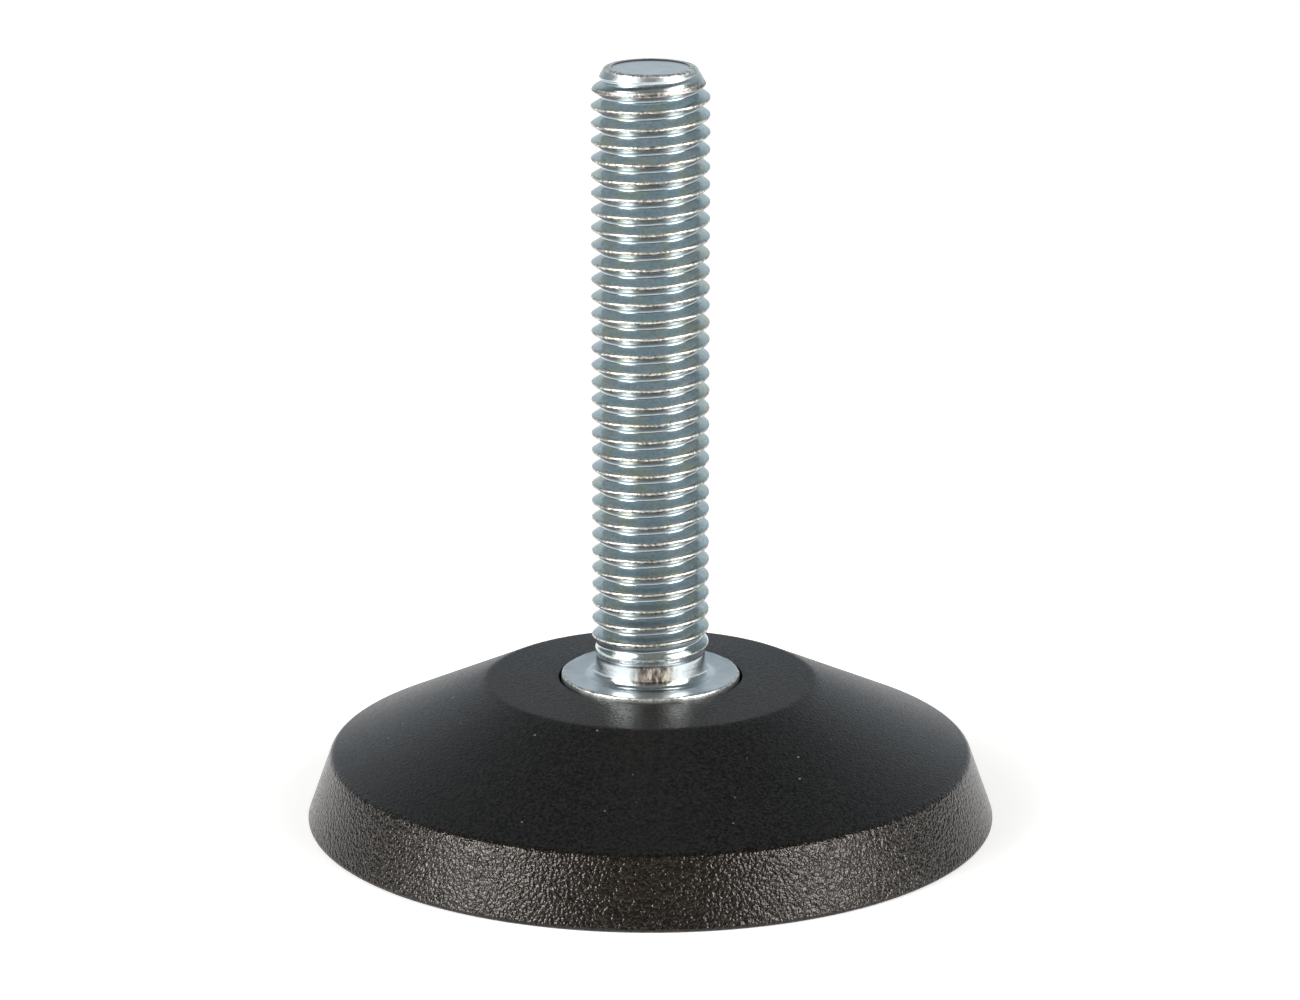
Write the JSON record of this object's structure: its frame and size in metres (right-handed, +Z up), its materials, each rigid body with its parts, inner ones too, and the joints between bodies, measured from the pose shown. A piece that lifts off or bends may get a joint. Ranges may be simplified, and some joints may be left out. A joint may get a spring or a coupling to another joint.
{
  "type": "furniture leveling foot",
  "caption": "Adjustable furniture foot: a threaded steel spindle with a round collar turns freely in a low conical moulded plastic base.",
  "frame": {"origin": "centre of the base's underside, on the floor", "axes": "+Z up along the spindle's axis, towards its threaded end; +X and +Y in the floor plane, each through the middle of an underside pocket"},
  "size_m": [0.07, 0.07, 0.0774],
  "materials": {
    "black_plastic": "moulded with a fine spark-eroded grain",
    "zinc_steel": "bright zinc plate with a bluish passivation",
    "washer_steel": "plain zinc plate",
    "spring_steel": "phosphated spring steel"
  },
  "bodies": {
    "base": {"base": "black_plastic", "thrust_washer": "washer_steel"},
    "spindle": {"spindle": "zinc_steel", "retaining_ring": "spring_steel"}
  },
  "joints": [
    {"name": "spindle_spin", "type": "hinge", "parent": "base", "child": "spindle", "pos_m": [0, 0, 0.0152], "axis": [0, 0, 1], "continuous": true}
  ]
}
